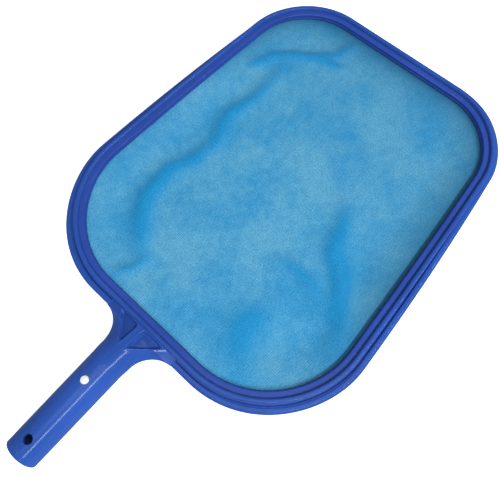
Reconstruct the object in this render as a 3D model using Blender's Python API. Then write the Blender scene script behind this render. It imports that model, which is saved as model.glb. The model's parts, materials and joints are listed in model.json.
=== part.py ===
"""Flat leaf skimmer for a swimming pool, as it comes apart on a bench.

One moulding makes the rim and the hollow handle. The net lies on the rim's ledge, and a ring that snaps
into the rim clamps it. A plastic lock clip, bent into a V, sits in the handle and pushes its two buttons
out through the handle's walls, where they hold a pole that slides over the handle.

Metres. +X runs from the handle's open end to the front of the head, +Z is up, and the rim stands on z = 0.
"""

import math

import bmesh
import bpy
from mathutils import Matrix, Vector

# Clearance between pieces that touch or rest on each other.
GAP = 0.0003

# Head. The ring's inner edge is the outline that all others are offset from.
OPENING_LENGTH = 0.345
REAR_HALF_WIDTH = 0.1425
FRONT_HALF_WIDTH = 0.1240
REAR_CORNER_RADIUS = 0.084
FRONT_CORNER_RADIUS = 0.062
SIDE_BOW = 0.0028

# Rim section: offsets outwards from the opening, heights above the floor.
LEDGE_REACH = 0.0004
LEDGE_BOTTOM = 0.0042
LEDGE_TOP = 0.0066
NET_THICKNESS = 0.0008
RING_HEIGHT = 0.0051
RING_WIDTH = 0.0046
RING_LIP = 0.0004
RING_LIP_HEIGHT = 0.0010
RIDGE_WIDTH = 0.0046
RIDGE_ABOVE_RING = 0.0035
RIM_ROOT = 0.0036
GROOVE_WIDTH = 0.0021
GROOVE_DEPTH = 0.0021
FLANGE_TOP = 0.0110
WEB_THICKNESS = 0.0022
SKIRT_THICKNESS = 0.0022
SNAP_BEAD = 0.0004
SNAP_BEAD_HEIGHT = 0.0012

# Flange: how wide it is outside an even border at the groove, and how its corners and sides differ.
REAR_FLANGE_WIDTH = 0.0052
REAR_SIDE_FLANGE_WIDTH = 0.0052
FRONT_SIDE_FLANGE_WIDTH = -0.0003
FRONT_FLANGE_WIDTH = 0.0031
REAR_FLANGE_CORNER_GROWTH = 0.0120
FRONT_FLANGE_CORNER_GROWTH = 0.0085
FLANGE_SIDE_BOW = 0.0052

# Handle: it gets a little thicker towards the head, so that it leaves its mould.
HANDLE_LENGTH = 0.1383
HANDLE_END_RADIUS = 0.01445
HANDLE_ROOT_RADIUS = 0.0152
HANDLE_AXIS_HEIGHT = 0.0172
HANDLE_END_ROUNDING = 0.0006
BORE_RADIUS = 0.0118
BORE_END_TO_COLLAR = 0.0010

# Collar between the handle and the rim.
COLLAR_LENGTH = 0.0335
FLARE_RADIUS = 0.0240
FLARE_START_HALF_WIDTH = 0.0160
FLARE_TO_FLANGE = 0.0002
COLLAR_HALF_WIDTH = 0.0380
COLLAR_ABOVE_RIDGE = 0.0022
COLLAR_BOTTOM = 0.0005
COLLAR_SQUARENESS = 2.6
COLLAR_OVERLAP = 0.0004
POCKET_TO_RIDGE = 0.0013
POCKET_LENGTH = 0.0195
POCKET_WIDTH = 0.0215
POCKET_DEPTH = 0.0036
POCKET_FLOOR_THICKNESS = 0.0026
POCKET_CORNER_RADIUS = 0.0014
CENTRE_RIB_THICKNESS = 0.0070

# Pin holes, measured from the handle's open end.
BUTTON_HOLE_TO_COLLAR = 0.0157
SPARE_HOLE_TO_END = 0.0153
PIN_HOLE_RADIUS = 0.0038

# Lock clip.
CLIP_WIDTH = 0.0090
CLIP_THICKNESS = 0.0015
CLIP_HINGE_TO_END = 0.0260
CLIP_BEND_RADIUS = 0.0039
CLIP_TAB_LENGTH = 0.0082
CLIP_TAB_DROP = 0.0009
BUTTON_RADIUS = 0.0033
BUTTON_PROUD = 0.0020
BUTTON_LEAD = 0.0003
BUTTON_DOME_HEIGHT = 0.0016

# Values that follow from those above.
NET_BOTTOM = LEDGE_TOP + GAP
NET_TOP = NET_BOTTOM + NET_THICKNESS
RING_BOTTOM = NET_TOP + GAP
RING_TOP = RING_BOTTOM + RING_HEIGHT
RIDGE_INNER = RING_WIDTH + GAP
RIDGE_OUTER = RIDGE_INNER + RIDGE_WIDTH
RIDGE_TOP = RING_TOP + RIDGE_ABOVE_RING
GROOVE_OUTER = RIDGE_OUTER + GROOVE_WIDTH
REAR_FLANGE_EDGE = GROOVE_OUTER + REAR_FLANGE_WIDTH
REAR_SIDE_FLANGE_EDGE = GROOVE_OUTER + REAR_SIDE_FLANGE_WIDTH
FRONT_SIDE_FLANGE_EDGE = GROOVE_OUTER + FRONT_SIDE_FLANGE_WIDTH
FRONT_FLANGE_EDGE = GROOVE_OUTER + FRONT_FLANGE_WIDTH
GROOVE_BOTTOM = FLANGE_TOP - GROOVE_DEPTH
WEB_BOTTOM = GROOVE_BOTTOM - WEB_THICKNESS
HANDLE_END_X = -HANDLE_LENGTH
FLARE_TO_OPENING = REAR_FLANGE_EDGE + FLARE_TO_FLANGE
FLARE_CENTRE_X = -(FLARE_TO_OPENING + FLARE_RADIUS)
COLLAR_START_X = -(FLARE_TO_OPENING + COLLAR_LENGTH)
COLLAR_EDGE_HEIGHT = FLANGE_TOP - COLLAR_OVERLAP
BORE_END_X = COLLAR_START_X - BORE_END_TO_COLLAR
BUTTON_HOLE_X = COLLAR_START_X - BUTTON_HOLE_TO_COLLAR
SPARE_HOLE_X = HANDLE_END_X + SPARE_HOLE_TO_END
BUTTON_X = BUTTON_HOLE_X - BUTTON_LEAD
HINGE_X = HANDLE_END_X + CLIP_HINGE_TO_END
LEG_OUTER = math.sqrt(BORE_RADIUS**2 - (CLIP_WIDTH / 2) ** 2) - GAP
LEG_MIDDLE = LEG_OUTER - CLIP_THICKNESS / 2

# The frame's origin is under the middle of the whole part's box.
CENTRE_X = (OPENING_LENGTH + FRONT_FLANGE_EDGE - HANDLE_LENGTH) / 2
TO_ORIGIN = Vector((-CENTRE_X, 0.0, 0.0))

# Points along each stretch of the head's outline.
CORNER_STEPS = 13
SIDE_POINTS = 9
END_POINTS = 3
SECTION_STEPS = 2
HANDLE_SIDES = 36
COLLAR_STEPS = 16


def clear_scene():
    for obj in list(bpy.data.objects):
        bpy.data.objects.remove(obj, do_unlink=True)


def plastic(name, colour, roughness):
    material = bpy.data.materials.new(name)
    material.use_nodes = True
    shader = material.node_tree.nodes["Principled BSDF"]
    shader.inputs["Base Color"].default_value = (*colour, 1.0)
    shader.inputs["Roughness"].default_value = roughness
    shader.inputs["Metallic"].default_value = 0.0
    material.diffuse_color = (*colour, 1.0)
    return material


def new_object(name, bm, material=None, smooth_angle=None):
    """Moves the finished mesh into the part's frame and puts it in the scene."""
    bmesh.ops.translate(bm, verts=bm.verts, vec=TO_ORIGIN)
    bmesh.ops.recalc_face_normals(bm, faces=bm.faces)
    mesh = bpy.data.meshes.new(name)
    bm.to_mesh(mesh)
    bm.free()
    if material:
        mesh.materials.append(material)
    if smooth_angle:
        mesh.shade_smooth()
        mesh.set_sharp_from_angle(angle=smooth_angle)
    obj = bpy.data.objects.new(name, mesh)
    bpy.context.scene.collection.objects.link(obj)
    return obj


def as_helper(obj):
    obj.hide_render = True
    obj.display_type = "WIRE"
    return obj


def combine(obj, other, operation):
    modifier = obj.modifiers.new(f"{operation.lower()} {other.name}", "BOOLEAN")
    modifier.operation = operation
    modifier.object = other
    modifier.solver = "EXACT"


def rounded_polygon(corners, steps, run_points=None):
    """A closed counter-clockwise outline of (x, y) points. corners are (x, y, radius), and each radius
    becomes an arc of that many steps. run_points gives how many points stand on the straight run that
    follows each corner."""
    count = len(corners)
    places = [Vector(corner[:2]) for corner in corners]
    arcs = []
    for i, (place, corner) in enumerate(zip(places, corners)):
        radius = corner[2]
        if not radius:
            arcs.append([place])
            continue
        back = (places[i - 1] - place).normalized()
        ahead = (places[(i + 1) % count] - place).normalized()
        half_angle = back.angle(ahead) / 2
        centre = place + (back + ahead).normalized() * radius / math.sin(half_angle)
        start = place + back * radius / math.tan(half_angle) - centre
        turn = math.pi - 2 * half_angle
        side = 1 if back.x * ahead.y - back.y * ahead.x < 0 else -1
        arcs.append(
            [centre + Matrix.Rotation(side * turn * k / steps, 2) @ start for k in range(steps + 1)]
        )
    points = []
    for i, arc in enumerate(arcs):
        points += arc
        run = run_points[i] if run_points else 0
        following = arcs[(i + 1) % count][0]
        points += [arc[-1].lerp(following, (k + 1) / (run + 1)) for k in range(run)]
    return points


def head_outline(rear, rear_side, front_side, front, rear_growth, front_growth, bow):
    """The opening's outline moved outwards: by rear and front at its ends, and by rear_side and front_side
    where its long sides start and finish. Its corner radii grow, and bow is how far the sides curve out."""
    narrowing = REAR_HALF_WIDTH - FRONT_HALF_WIDTH + rear_side - front_side
    rear_y = REAR_HALF_WIDTH + rear_side + narrowing * rear / OPENING_LENGTH
    front_y = FRONT_HALF_WIDTH + front_side - narrowing * front / OPENING_LENGTH
    rear_radius = REAR_CORNER_RADIUS + rear_growth
    front_radius = FRONT_CORNER_RADIUS + front_growth
    corners = [
        (-rear, -rear_y, rear_radius),
        (OPENING_LENGTH + front, -front_y, front_radius),
        (OPENING_LENGTH + front, front_y, front_radius),
        (-rear, rear_y, rear_radius),
    ]
    points = rounded_polygon(corners, CORNER_STEPS, (SIDE_POINTS, END_POINTS, SIDE_POINTS, END_POINTS))
    outline = []
    for point in points:
        along = min(max(point.x / OPENING_LENGTH, 0.0), 1.0)
        half_width = rear_y + (front_y - rear_y) * along
        sideways = min(abs(point.y) / half_width, 1.0)
        push = bow * 4 * along * (1 - along) * sideways**6
        outline.append(Vector((point.x, point.y + math.copysign(push, point.y))))
    return outline


def border(offset):
    """The opening's outline moved outwards by the same amount all round."""
    return head_outline(offset, offset, offset, offset, offset, offset, SIDE_BOW)


def rim_loop(offset):
    """An even border inside the groove's outer wall. Beyond it, a loop that follows the flange's edge."""
    if offset <= GROOVE_OUTER:
        return border(offset)
    inset = REAR_FLANGE_EDGE - offset
    return head_outline(
        REAR_FLANGE_EDGE - inset,
        REAR_SIDE_FLANGE_EDGE - inset,
        FRONT_SIDE_FLANGE_EDGE - inset,
        FRONT_FLANGE_EDGE - inset,
        REAR_FLANGE_CORNER_GROWTH - inset,
        FRONT_FLANGE_CORNER_GROWTH - inset,
        FLANGE_SIDE_BOW,
    )


def swept_round_head(section, loop_at):
    """A closed rail round the head. The section is a closed list of (offset, height), counter-clockwise,
    and loop_at gives the outline for an offset."""
    bm = bmesh.new()
    loops = []
    for offset, height in section:
        loops.append([bm.verts.new((point.x, point.y, height)) for point in loop_at(offset)])
    for loop, following in zip(loops, loops[1:] + loops[:1]):
        join_loops(bm, loop, following)
    return bm


def join_loops(bm, loop, following):
    count = len(loop)
    for j in range(count):
        k = (j + 1) % count
        bm.faces.new((loop[j], loop[k], following[k], following[j]))


def uneven_prism(outline, bottoms, tops):
    """The outline's wall, closed by a bottom and a top that can slope: one height for each point."""
    bm = bmesh.new()
    low = [bm.verts.new((point[0], point[1], height)) for point, height in zip(outline, bottoms)]
    high = [bm.verts.new((point[0], point[1], height)) for point, height in zip(outline, tops)]
    join_loops(bm, low, high)
    bm.faces.new(low)
    bm.faces.new(high)
    return bm


def prism(outline, bottom, top):
    return uneven_prism(outline, [bottom] * len(outline), [top] * len(outline))


def cylinder(radius, start, end, sides):
    """A closed cylinder between two points."""
    bm = bmesh.new()
    along = Vector(end) - Vector(start)
    turn = along.to_track_quat("Z", "Y").to_matrix().to_4x4()
    place = Matrix.Translation((Vector(start) + Vector(end)) / 2) @ turn
    bmesh.ops.create_cone(
        bm,
        cap_ends=True,
        segments=sides,
        radius1=radius,
        radius2=radius,
        depth=along.length,
        matrix=place,
    )
    return bm


def joined(pieces):
    """One bmesh of several that stay separate bodies."""
    whole = bmesh.new()
    for piece in pieces:
        mesh = bpy.data.meshes.new("joined")
        piece.to_mesh(mesh)
        piece.free()
        whole.from_mesh(mesh)
        bpy.data.meshes.remove(mesh)
    return whole


# ---- Frame ----


def rim_section():
    """Ledge, skirt, flange, groove and ridge, from the ledge's inner bottom corner round to its top."""
    bead_low = RING_BOTTOM + RING_HEIGHT / 2 - SNAP_BEAD_HEIGHT / 2 - GAP
    bead_high = bead_low + SNAP_BEAD_HEIGHT + 2 * GAP
    skirt_inner = REAR_FLANGE_EDGE - SKIRT_THICKNESS
    corners = [
        (-LEDGE_REACH, LEDGE_BOTTOM, 0.0005),
        (RIDGE_OUTER - RIM_ROOT / 2, LEDGE_BOTTOM, 0.0),
        (RIDGE_OUTER - RIM_ROOT / 2, WEB_BOTTOM, 0.0),
        (skirt_inner, WEB_BOTTOM, 0.0),
        (skirt_inner, 0.0, 0.0),
        (REAR_FLANGE_EDGE, 0.0, 0.0006),
        (REAR_FLANGE_EDGE, FLANGE_TOP, 0.0010),
        (GROOVE_OUTER, FLANGE_TOP, 0.0),
        (GROOVE_OUTER, GROOVE_BOTTOM, 0.0),
        (RIDGE_OUTER, GROOVE_BOTTOM, 0.0),
        (RIDGE_OUTER, RIDGE_TOP, 0.0012),
        (RIDGE_INNER, RIDGE_TOP, 0.0009),
        (RIDGE_INNER, bead_high, 0.0),
        (RIDGE_INNER + SNAP_BEAD, (bead_low + bead_high) / 2, 0.0),
        (RIDGE_INNER, bead_low, 0.0),
        (RIDGE_INNER, LEDGE_TOP, 0.0),
        (-LEDGE_REACH, LEDGE_TOP, 0.0007),
    ]
    return rounded_polygon(corners, SECTION_STEPS)


def smooth_step(value):
    value = min(max(value, 0.0), 1.0)
    return value * value * (3 - 2 * value)


def handle_radius(x):
    """Outer radius of the round part of the handle, which is thickest where the collar starts."""
    share = (x - HANDLE_END_X) / (COLLAR_START_X - HANDLE_END_X)
    return HANDLE_END_RADIUS + (HANDLE_ROOT_RADIUS - HANDLE_END_RADIUS) * min(max(share, 0.0), 1.0)


def collar_top(x):
    """Height of the collar's crown, which falls from the handle's top to just above the ridge."""
    share = smooth_step((x - COLLAR_START_X) / (-RIDGE_OUTER - COLLAR_START_X)) * 0.5
    share += min(max((x - COLLAR_START_X) / (-RIDGE_OUTER - COLLAR_START_X), 0.0), 1.0) * 0.5
    start = HANDLE_AXIS_HEIGHT + handle_radius(x)
    return start + (RIDGE_TOP + COLLAR_ABOVE_RIDGE - start) * share


def collar_half_width(x):
    """Follows the handle, then swings outwards along the flare's arc."""
    if x < FLARE_CENTRE_X:
        lead = smooth_step((x - COLLAR_START_X) / (FLARE_CENTRE_X - COLLAR_START_X))
        return handle_radius(x) + (FLARE_START_HALF_WIDTH - handle_radius(x)) * lead
    reach = min((x - FLARE_CENTRE_X) / FLARE_RADIUS, 1.0)
    swing = FLARE_RADIUS * (1 - math.sqrt(1 - reach**2))
    return min(FLARE_START_HALF_WIDTH + swing, COLLAR_HALF_WIDTH)


def handle_stations():
    """(x, half width, bottom, widest height, top, squareness) of each cross-section, from the open end."""
    stations = []
    for inset, shrink in ((0.0, 1.0), (0.3, 0.3), (1.0, 0.0)):
        x = HANDLE_END_X + HANDLE_END_ROUNDING * inset
        radius = handle_radius(x) - HANDLE_END_ROUNDING * shrink
        low, high = HANDLE_AXIS_HEIGHT - radius, HANDLE_AXIS_HEIGHT + radius
        stations.append((x, radius, low, HANDLE_AXIS_HEIGHT, high, 2.0))
    collar_end_x = -FLARE_TO_OPENING
    for k in range(COLLAR_STEPS + 1):
        x = COLLAR_START_X + (collar_end_x - COLLAR_START_X) * math.sin(k / COLLAR_STEPS * math.pi / 2)
        blend = smooth_step((x - COLLAR_START_X) / (collar_end_x - COLLAR_START_X))
        low = (HANDLE_AXIS_HEIGHT - handle_radius(x)) * (1 - blend) + COLLAR_BOTTOM * blend
        drop = smooth_step((x - FLARE_CENTRE_X) / FLARE_RADIUS)
        widest = HANDLE_AXIS_HEIGHT + (COLLAR_EDGE_HEIGHT - HANDLE_AXIS_HEIGHT) * drop
        squareness = 2.0 + (COLLAR_SQUARENESS - 2.0) * blend
        stations.append((x, collar_half_width(x), low, widest, collar_top(x), squareness))
    inside_ridge = -(RIDGE_OUTER - COLLAR_OVERLAP)
    ridge_middle = -(RIDGE_INNER + RIDGE_OUTER) / 2
    for x, top in ((inside_ridge, collar_top(inside_ridge)), (ridge_middle, RIDGE_TOP - COLLAR_OVERLAP)):
        stations.append((x, COLLAR_HALF_WIDTH, COLLAR_BOTTOM, COLLAR_EDGE_HEIGHT, top, COLLAR_SQUARENESS))
    return stations


def handle_body():
    """The solid handle and collar, lofted through rings that turn from round to a soft rectangle."""
    bm = bmesh.new()
    rings = []
    for x, half_width, bottom, widest, top, squareness in handle_stations():
        ring = []
        for k in range(HANDLE_SIDES):
            angle = 2 * math.pi * k / HANDLE_SIDES
            across = math.copysign(abs(math.cos(angle)) ** (2 / squareness), math.cos(angle))
            upwards = math.copysign(abs(math.sin(angle)) ** (2 / squareness), math.sin(angle))
            reach = top - widest if upwards > 0 else widest - bottom
            ring.append(bm.verts.new((x, across * half_width, widest + upwards * reach)))
        rings.append(ring)
    for ring, following in zip(rings, rings[1:]):
        join_loops(bm, ring, following)
    bm.faces.new(rings[0])
    bm.faces.new(rings[-1])
    return bm


def pockets():
    """Two triangular recesses each side of the centre rib, above and below a web that slopes with the
    collar."""
    near = -(RIDGE_OUTER + POCKET_TO_RIDGE)
    far = near - POCKET_LENGTH
    inner = CENTRE_RIB_THICKNESS / 2
    above = HANDLE_AXIS_HEIGHT + 2 * HANDLE_ROOT_RADIUS
    below = COLLAR_BOTTOM - HANDLE_ROOT_RADIUS
    pieces = []
    for side in (-1, 1):
        corners = [
            (near, side * inner, POCKET_CORNER_RADIUS),
            (near, side * (inner + POCKET_WIDTH), POCKET_CORNER_RADIUS),
            (far, side * inner, POCKET_CORNER_RADIUS),
        ]
        if side < 0:
            corners.reverse()
        outline = rounded_polygon(corners, 3)
        web_top = [collar_top(point.x) - POCKET_DEPTH for point in outline]
        web_bottom = [height - POCKET_FLOOR_THICKNESS for height in web_top]
        pieces.append(uneven_prism(outline, web_top, [above] * len(outline)))
        pieces.append(uneven_prism(outline, [below] * len(outline), web_bottom))
    return joined(pieces)


def pin_holes():
    """Each pin hole goes through both walls of the handle."""
    reach = HANDLE_ROOT_RADIUS + 0.003
    pieces = []
    for x in (BUTTON_HOLE_X, SPARE_HOLE_X):
        start = (x, 0.0, HANDLE_AXIS_HEIGHT - reach)
        end = (x, 0.0, HANDLE_AXIS_HEIGHT + reach)
        pieces.append(cylinder(PIN_HOLE_RADIUS, start, end, 24))
    return joined(pieces)


def build_frame(material):
    frame = new_object(
        "frame",
        swept_round_head(rim_section(), rim_loop),
        material,
        math.radians(35),
    )
    bore = cylinder(
        BORE_RADIUS,
        (HANDLE_END_X - 0.003, 0.0, HANDLE_AXIS_HEIGHT),
        (BORE_END_X, 0.0, HANDLE_AXIS_HEIGHT),
        HANDLE_SIDES,
    )
    combine(frame, as_helper(new_object("handle_body", handle_body())), "UNION")
    combine(frame, as_helper(new_object("handle_bore", bore)), "DIFFERENCE")
    combine(frame, as_helper(new_object("pin_holes", pin_holes())), "DIFFERENCE")
    combine(frame, as_helper(new_object("collar_pockets", pockets())), "DIFFERENCE")


# ---- Ring and net ----


def build_retaining_ring(material):
    """Snap-in ring: its bead sits in the ridge's groove, and a low lip holds the net's edge down."""
    middle = RING_BOTTOM + RING_HEIGHT / 2
    section = rounded_polygon(
        [
            (-RING_LIP, RING_BOTTOM, 0.0),
            (RING_WIDTH, RING_BOTTOM, 0.0),
            (RING_WIDTH, middle - SNAP_BEAD_HEIGHT / 2, 0.0),
            (RING_WIDTH + SNAP_BEAD, middle, 0.0),
            (RING_WIDTH, middle + SNAP_BEAD_HEIGHT / 2, 0.0),
            (RING_WIDTH, RING_TOP, 0.0004),
            (0.0, RING_TOP, 0.0009),
            (0.0, RING_BOTTOM + RING_LIP_HEIGHT + RING_LIP, 0.0),
            (-RING_LIP, RING_BOTTOM + RING_LIP_HEIGHT, 0.0),
        ],
        SECTION_STEPS,
    )
    new_object("retaining_ring", swept_round_head(section, border), material, math.radians(35))


def build_net(material):
    """The clamped net, as a thin flat sheet that reaches to just short of the ridge."""
    edge = RIDGE_INNER - GAP
    new_object("net", prism(border(edge), NET_BOTTOM, NET_TOP), material)


# ---- Lock clip ----


def strip(centre_line):
    """A band of the clip's thickness and width that follows (x, z) points."""
    points = [Vector(point) for point in centre_line]
    left, right = [], []
    for i, point in enumerate(points):
        ahead = points[min(i + 1, len(points) - 1)] - points[max(i - 1, 0)]
        normal = Vector((-ahead.y, ahead.x)).normalized() * CLIP_THICKNESS / 2
        left.append(point + normal)
        right.append(point - normal)
    bm = prism(left + right[::-1], -CLIP_WIDTH / 2, CLIP_WIDTH / 2)
    # The outline was drawn lying down; turned up, its second axis is the height.
    bmesh.ops.rotate(bm, verts=bm.verts, cent=(0, 0, 0), matrix=Matrix.Rotation(math.pi / 2, 3, "X"))
    bmesh.ops.translate(bm, verts=bm.verts, vec=(0, 0, HANDLE_AXIS_HEIGHT))
    return bm


def build_clip_bow(material):
    """The bend at the handle's open end that joins and springs the two legs."""
    middle = CLIP_BEND_RADIUS
    end = (HINGE_X - GAP / 2, middle)
    steps = 10
    bend = []
    for k in range(steps + 1):
        angle = math.pi / 2 + math.pi * k / steps
        x = HINGE_X - 0.001 + middle * math.cos(angle)
        bend.append((x, middle * math.sin(angle)))
    new_object("clip_bow", strip([end, *bend, (end[0], -end[1])]), material, math.radians(35))


def button(side):
    """A round button that stands on the leg and ends in a low dome outside the handle."""
    foot = HANDLE_AXIS_HEIGHT + side * (LEG_OUTER - CLIP_THICKNESS / 2)
    surface = HANDLE_AXIS_HEIGHT + side * handle_radius(BUTTON_X)
    crown = surface + side * BUTTON_PROUD
    shoulder = crown - side * BUTTON_DOME_HEIGHT
    bm = bmesh.new()
    steps = 4
    profile = [(0.0, foot), (BUTTON_RADIUS, foot)]
    for k in range(steps + 1):
        angle = math.pi / 2 * k / steps
        height = shoulder + (crown - shoulder) * math.sin(angle)
        profile.append((BUTTON_RADIUS * math.cos(angle), height))
    verts = [bm.verts.new((BUTTON_X + radius, 0.0, height)) for radius, height in profile]
    edges = [bm.edges.new(pair) for pair in zip(verts, verts[1:])]
    bmesh.ops.spin(
        bm,
        geom=verts + edges,
        cent=(BUTTON_X, 0.0, 0.0),
        axis=(0, 0, 1),
        angle=2 * math.pi,
        steps=20,
        use_merge=True,
    )
    bmesh.ops.remove_doubles(bm, verts=bm.verts, dist=0.00001)
    return bm


def build_clip_leg(name, side, material):
    """One leg with its button, hinged where it leaves the bend. side is 1 above the axis, -1 below."""
    end_x = BUTTON_X + CLIP_TAB_LENGTH
    centre_line = [
        (HINGE_X + GAP / 2, side * CLIP_BEND_RADIUS),
        (BUTTON_X - BUTTON_RADIUS - 0.001, side * LEG_MIDDLE),
        (BUTTON_X + BUTTON_RADIUS + 0.001, side * LEG_MIDDLE),
        (end_x, side * (LEG_MIDDLE - CLIP_TAB_DROP)),
    ]
    leg = new_object(name, strip(centre_line), material, math.radians(35))
    combine(leg, as_helper(new_object(f"{name}_button", button(side))), "UNION")
    pivot = bpy.data.objects.new(f"{name}_pivot", None)
    bpy.context.scene.collection.objects.link(pivot)
    hinge = Vector((HINGE_X, 0.0, HANDLE_AXIS_HEIGHT + side * CLIP_BEND_RADIUS))
    pivot.location = hinge + TO_ORIGIN
    leg.parent = pivot
    leg.matrix_parent_inverse = Matrix.Translation(-pivot.location)


def main():
    clear_scene()
    blue = plastic("frame_plastic", (0.040, 0.112, 0.400), 0.35)
    ring_blue = plastic("ring_plastic", (0.042, 0.095, 0.370), 0.38)
    white = plastic("clip_plastic", (0.86, 0.87, 0.85), 0.40)
    mesh_blue = plastic("net_fabric", (0.060, 0.280, 0.540), 0.70)
    build_frame(blue)
    build_retaining_ring(ring_blue)
    build_net(mesh_blue)
    build_clip_bow(white)
    build_clip_leg("clip_leg_upper", 1, white)
    build_clip_leg("clip_leg_lower", -1, white)


main()
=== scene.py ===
"""Flat pool skimmer: the finished look of its moulded frame, snap-in ring, slack net and white lock clip.

Metres. +X runs from the handle's open end to the front of the head, +Z is up, and the rim stands on z = 0.
The outlines and sections are the design's own, drawn with finer steps. Places come from the loaded frame.
"""

import json
import math

import bmesh
import bpy
from bpy.props import FloatProperty, FloatVectorProperty, PointerProperty
from mathutils import Matrix, Vector, noise


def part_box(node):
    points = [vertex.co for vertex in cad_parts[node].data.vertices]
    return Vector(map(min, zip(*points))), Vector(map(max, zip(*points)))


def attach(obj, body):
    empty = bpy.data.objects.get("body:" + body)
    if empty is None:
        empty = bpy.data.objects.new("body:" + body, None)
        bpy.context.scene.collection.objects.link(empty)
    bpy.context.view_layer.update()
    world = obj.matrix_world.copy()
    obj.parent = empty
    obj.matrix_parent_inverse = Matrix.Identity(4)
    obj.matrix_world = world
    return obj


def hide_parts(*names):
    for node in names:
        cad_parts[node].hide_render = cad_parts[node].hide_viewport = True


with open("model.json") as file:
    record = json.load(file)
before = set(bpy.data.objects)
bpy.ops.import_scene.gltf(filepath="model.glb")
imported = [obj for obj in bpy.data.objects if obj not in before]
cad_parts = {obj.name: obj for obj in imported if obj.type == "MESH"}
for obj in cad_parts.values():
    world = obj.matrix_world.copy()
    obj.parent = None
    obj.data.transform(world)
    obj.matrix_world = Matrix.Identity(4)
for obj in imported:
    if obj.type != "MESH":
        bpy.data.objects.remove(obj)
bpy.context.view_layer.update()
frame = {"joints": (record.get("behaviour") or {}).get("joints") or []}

bl_info = {
    "name": "Pool Skimmer Head",
    "version": (1, 0, 0),
    "blender": (4, 5, 0),
    "location": "3D View > Sidebar > Skimmer",
    "description": "Builds a flat pool skimmer head with its net and lock clip",
    "category": "Add Mesh",
}

RING_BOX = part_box("retaining_ring")
NET_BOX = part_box("net")
UPPER_LEG_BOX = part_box("clip_leg_upper")
HINGES = {joint["child"]: Vector(joint["pos_m"]) for joint in frame["joints"]}
AXIS_HEIGHT = (HINGES["upper_leg"].z + HINGES["lower_leg"].z) / 2
HANDLE_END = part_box("frame")[0].x

# The opening is the ring's inner edge. Lengths along the head start at its rear edge.
RING_WIDTH = 0.0046
OPENING_REAR = RING_BOX[0].x + RING_WIDTH
OPENING_LENGTH = RING_BOX[1].x - RING_BOX[0].x - 2 * RING_WIDTH

# How finely the outlines are drawn: steps round each corner, and points along each straight run.
CORNER_STEPS = 36
RUN_POINTS = (44, 30, 44, 30)
ROUNDING_STEPS = 4

# Points across the top and the underside of each of the handle's cross-sections.
TOP_POINTS = 300
BOTTOM_POINTS = 70


# ---- Settings ----


def length(name, default, description):
    return FloatProperty(name=name, default=default, description=description, unit="LENGTH")


def colour(name, default, description):
    return FloatVectorProperty(
        name=name, default=default, description=description, subtype="COLOR", size=3, min=0, max=1
    )


class HeadSettings(bpy.types.PropertyGroup):
    """Plan of the head. Offsets run outwards from the opening, which is the ring's inner edge."""

    ring_width: length("Ring width", RING_WIDTH, "How wide the ring is between the opening and the ridge")
    rear_half_width: length("Rear half width", 0.1425, "Half of the opening's width at the handle")
    front_half_width: length("Front half width", 0.1240, "Half of the opening's width at the front")
    rear_corner: length("Rear corner radius", 0.084, "Radius of the opening's corners at the handle")
    front_corner: length("Front corner radius", 0.062, "Radius of the opening's corners at the front")
    side_bow: length("Side bow", 0.0028, "How far the long sides curve out")
    rear_flange: length("Rear flange edge", 0.0168, "Flange edge to opening at the handle")
    rear_side_flange: length("Rear side flange edge", 0.0168, "The same where the sides start")
    front_side_flange: length("Front side flange edge", 0.0113, "The same where the sides end")
    front_flange: length("Front flange edge", 0.0147, "Flange edge to opening at the front")
    rear_flange_growth: length("Rear corner growth", 0.0120, "Flange corner radius less the opening's")
    front_flange_growth: length("Front corner growth", 0.0085, "Flange corner radius less the opening's")
    flange_bow: length("Flange bow", 0.0052, "How far the flange's long sides curve out")


class SectionSettings(bpy.types.PropertyGroup):
    """Heights and widths of the rim's section."""

    ledge_bottom: length("Ledge underside", 0.0042, "Height of the ledge's underside")
    ledge_gap: length("Ledge to net", 0.0003, "Space between the ledge and the net")
    ridge_width: length("Ridge width", 0.0046, "Width of the ridge round the ring")
    ridge_above_ring: length("Ridge height", 0.0035, "How far the ridge stands above the ring")
    groove_width: length("Groove width", 0.0021, "Width of the groove outside the ridge")
    flange_top: length("Flange height", 0.0110, "Height of the flange's top")
    groove_depth: length("Groove depth", 0.0021, "Depth of the groove below the flange")
    wall: length("Wall", 0.0022, "Thickness of the skirt and of the web")


class HandleSettings(bpy.types.PropertyGroup):
    """The hollow handle, and the collar between it and the rim."""

    end_radius: length("End radius", 0.01445, "Outer radius at the open end")
    root_radius: length("Root radius", 0.0152, "Outer radius where the collar starts")
    bore_radius: length("Bore radius", 0.0118, "Radius of the bore")
    collar_start: length("Collar start", 0.0505, "From the opening's rear edge to where the collar starts")
    flare_radius: length("Flare radius", 0.0240, "Radius of the hollow curve at each side of the collar")
    flare_half_width: length("Flare start", 0.0160, "Half of the collar's width where the flare starts")
    flare_end: length("Flare end", 0.0170, "From the opening's rear edge to the flare's end")
    collar_half_width: length("Collar half width", 0.0384, "Half of the collar's width at the rim")
    above_ridge: length("Crown above ridge", 0.0022, "How far the collar's crown stands above the ridge")
    pocket_near: length("Pocket to opening", 0.0108, "From the opening's rear edge to the pockets")
    pocket_length: length("Pocket length", 0.0195, "Length of each triangular pocket")
    pocket_width: length("Pocket width", 0.0215, "Width of each triangular pocket")
    pocket_depth: length("Pocket depth", 0.0028, "Depth of each pocket below the collar's crown")
    rib: length("Centre rib", 0.0070, "Thickness of the rib between the pockets")
    hole_radius: length("Pin hole radius", 0.0038, "Radius of the four pin holes")
    hole_spacing: length("Pin hole spacing", 0.0568, "From the button's holes to the spare ones")
    button_play: length("Button play", 0.0003, "How far the button's hole sits ahead of the button")


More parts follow.
